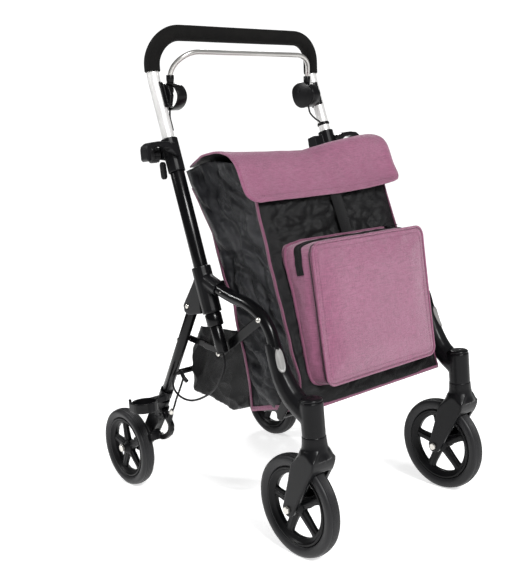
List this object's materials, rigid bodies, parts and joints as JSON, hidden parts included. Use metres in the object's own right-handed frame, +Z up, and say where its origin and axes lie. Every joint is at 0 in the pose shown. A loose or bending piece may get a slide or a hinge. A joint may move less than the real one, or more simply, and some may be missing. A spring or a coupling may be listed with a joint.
{
  "type": "rollator walker",
  "caption": "Folding shopping rollator with a bow handle, squeeze brake bar, swivel front wheels, cane holder and a fabric bag with a lid, front pocket and rear pouch.",
  "frame": {"origin": "on the floor, below the middle of the bounding box", "axes": "+Z up, the walker drives towards -Y, +X is the left side as the person pushing it sees it"},
  "size_m": [0.574, 0.749, 0.9865],
  "materials": {
    "silver_tube": "satin anodised",
    "foam": "closed-cell foam, matt",
    "black_tube": "black powder coat, semi-gloss",
    "black_plastic": "moulded, semi-matt",
    "steel": "zinc plated",
    "tyre": "solid, fine circumferential grooves",
    "cable": "PVC sheathed cable",
    "nylon": "coated nylon, creased",
    "mauve_fabric": "melange polyester weave"
  },
  "bodies": {
    "frame": {"main_tube_right": "black_tube", "main_tube_left": "black_tube", "side_casting_right": "black_plastic", "side_casting_left": "black_plastic", "arch_tube_right": "black_tube", "arch_tube_left": "black_tube", "front_casting_right": "black_plastic", "front_casting_left": "black_plastic", "handle_collar_right": "black_plastic", "handle_collar_left": "black_plastic", "cane_hook_right": "black_plastic", "cane_hook_left": "black_plastic", "side_brace_right": "black_tube", "side_brace_left": "black_tube", "brake_cable_right": "cable", "brake_cable_left": "cable", "front_cross_bar": "black_tube", "rear_cross_tube": "black_tube", "bag_body": "nylon", "front_pocket": "mauve_fabric", "rear_pouch": "nylon"},
    "handle": {"handle_tube": "silver_tube", "foam_grip": "foam", "brake_housing_right": "black_plastic", "brake_housing_left": "black_plastic"},
    "brake_bar": {"brake_bow": "silver_tube", "brake_lever_right": "black_plastic", "brake_lever_left": "black_plastic"},
    "fold_release": {"fold_lever": "black_plastic"},
    "flap": {"bag_flap": "mauve_fabric"},
    "zip_slider": {"zip_pull": "black_plastic"},
    "rear_legs": {"rear_leg_right": "black_tube", "rear_leg_left": "black_tube", "rear_casting_right": "black_plastic", "rear_casting_left": "black_plastic", "rear_axle_right": "steel", "rear_axle_left": "steel", "leg_cross_bar": "black_tube", "cane_cup": "black_plastic"},
    "knob_right": {"height_knob_right": "black_plastic"},
    "caster_right": {"caster_fork_right": "black_plastic", "front_axle_right": "steel"},
    "front_wheel_right": {"front_tyre_right": "tyre", "front_rim_right": "black_plastic"},
    "rear_wheel_right": {"rear_tyre_right": "tyre", "rear_rim_right": "black_plastic"},
    "brake_shoe_right": {"brake_arm_right": "black_plastic"},
    "front_stay_right": {"stay_front_right": "black_tube"},
    "rear_stay_right": {"stay_rear_right": "black_tube"},
    "knob_left": {"height_knob_left": "black_plastic"},
    "caster_left": {"caster_fork_left": "black_plastic", "front_axle_left": "steel"},
    "front_wheel_left": {"front_tyre_left": "tyre", "front_rim_left": "black_plastic"},
    "rear_wheel_left": {"rear_tyre_left": "tyre", "rear_rim_left": "black_plastic"},
    "brake_shoe_left": {"brake_arm_left": "black_plastic"},
    "front_stay_left": {"stay_front_left": "black_tube"},
    "rear_stay_left": {"stay_rear_left": "black_tube"}
  },
  "joints": [
    {"name": "handle_height", "type": "slide", "parent": "frame", "child": "handle", "axis": [0, 0.2605, 0.9655], "range_m": [-0.04, 0.06]},
    {"name": "brake_squeeze", "type": "hinge", "parent": "handle", "child": "brake_bar", "pos_m": [0, 0.0417, 0.8632], "axis": [1, 0, 0], "range_deg": [-12, 0], "stiffness_Nm_per_rad": 2, "springref_deg": 6.88},
    {"name": "fold_release_swing", "type": "hinge", "parent": "frame", "child": "fold_release", "pos_m": [-0.232, 0.0075, 0.716], "axis": [1, 0, 0], "range_deg": [0, 25], "stiffness_Nm_per_rad": 0.05, "springref_deg": -20.05},
    {"name": "flap_lift", "type": "hinge", "parent": "frame", "child": "flap", "pos_m": [0, 0.0055, 0.705], "axis": [1, 0, 0], "range_deg": [-52, 0]},
    {"name": "zip_slide", "type": "slide", "parent": "frame", "child": "zip_slider", "axis": [1, 0, 0], "range_m": [-0.21, 0]},
    {"name": "leg_fold", "type": "hinge", "parent": "frame", "child": "rear_legs", "pos_m": [0, -0.0155, 0.44], "axis": [1, 0, 0], "range_deg": [-50, 0], "deforming": ["rear_pouch", "brake_cable_right", "brake_cable_left"]},
    {"name": "height_knob_turn_right", "type": "hinge", "parent": "frame", "child": "knob_right", "pos_m": [-0.233, 0.0225, 0.738], "axis": [1, 0, 0], "range_deg": [0, 270]},
    {"name": "caster_swivel_right", "type": "hinge", "parent": "frame", "child": "caster_right", "pos_m": [-0.204, -0.3335, 0.232], "axis": [0, 0, 1], "continuous": true},
    {"name": "front_wheel_spin_right", "type": "hinge", "parent": "caster_right", "child": "front_wheel_right", "pos_m": [-0.204, -0.2795, 0.095], "axis": [1, 0, 0], "continuous": true},
    {"name": "rear_wheel_spin_right", "type": "hinge", "parent": "rear_legs", "child": "rear_wheel_right", "pos_m": [-0.2185, 0.2855, 0.089], "axis": [1, 0, 0], "continuous": true},
    {"name": "brake_shoe_swing_right", "type": "hinge", "parent": "rear_legs", "child": "brake_shoe_right", "pos_m": [-0.19, 0.1641, 0.1816], "axis": [1, 0, 0], "range_deg": [0, 2.7]},
    {"name": "front_stay_swing_right", "type": "hinge", "parent": "frame", "child": "front_stay_right", "pos_m": [-0.186, -0.0695, 0.346], "axis": [1, 0, 0], "range_deg": [0, 59.5]},
    {"name": "rear_stay_swing_right", "type": "hinge", "parent": "rear_legs", "child": "rear_stay_right", "pos_m": [-0.182, 0.04581, 0.36122], "axis": [1, 0, 0], "range_deg": [-37.5, 0]},
    {"name": "height_knob_turn_left", "type": "hinge", "parent": "frame", "child": "knob_left", "pos_m": [0.233, 0.0225, 0.738], "axis": [1, 0, 0], "range_deg": [0, 270]},
    {"name": "caster_swivel_left", "type": "hinge", "parent": "frame", "child": "caster_left", "pos_m": [0.204, -0.3335, 0.232], "axis": [0, 0, 1], "continuous": true},
    {"name": "front_wheel_spin_left", "type": "hinge", "parent": "caster_left", "child": "front_wheel_left", "pos_m": [0.204, -0.2795, 0.095], "axis": [1, 0, 0], "continuous": true},
    {"name": "rear_wheel_spin_left", "type": "hinge", "parent": "rear_legs", "child": "rear_wheel_left", "pos_m": [0.2185, 0.2855, 0.089], "axis": [1, 0, 0], "continuous": true},
    {"name": "brake_shoe_swing_left", "type": "hinge", "parent": "rear_legs", "child": "brake_shoe_left", "pos_m": [0.19, 0.1641, 0.1816], "axis": [1, 0, 0], "range_deg": [0, 2.7]},
    {"name": "front_stay_swing_left", "type": "hinge", "parent": "frame", "child": "front_stay_left", "pos_m": [0.186, -0.0695, 0.346], "axis": [1, 0, 0], "range_deg": [0, 59.5]},
    {"name": "rear_stay_swing_left", "type": "hinge", "parent": "rear_legs", "child": "rear_stay_left", "pos_m": [0.182, 0.04581, 0.36122], "axis": [1, 0, 0], "range_deg": [-37.5, 0]}
  ],
  "couplings": [
    {"joint": "brake_shoe_swing_right", "follows": "brake_squeeze", "ratio": -0.2167},
    {"joint": "front_stay_swing_right", "follows": "leg_fold", "ratio": -1.188},
    {"joint": "rear_stay_swing_right", "follows": "leg_fold", "ratio": 0.748},
    {"joint": "brake_shoe_swing_left", "follows": "brake_squeeze", "ratio": -0.2167},
    {"joint": "front_stay_swing_left", "follows": "leg_fold", "ratio": -1.188},
    {"joint": "rear_stay_swing_left", "follows": "leg_fold", "ratio": 0.748}
  ]
}
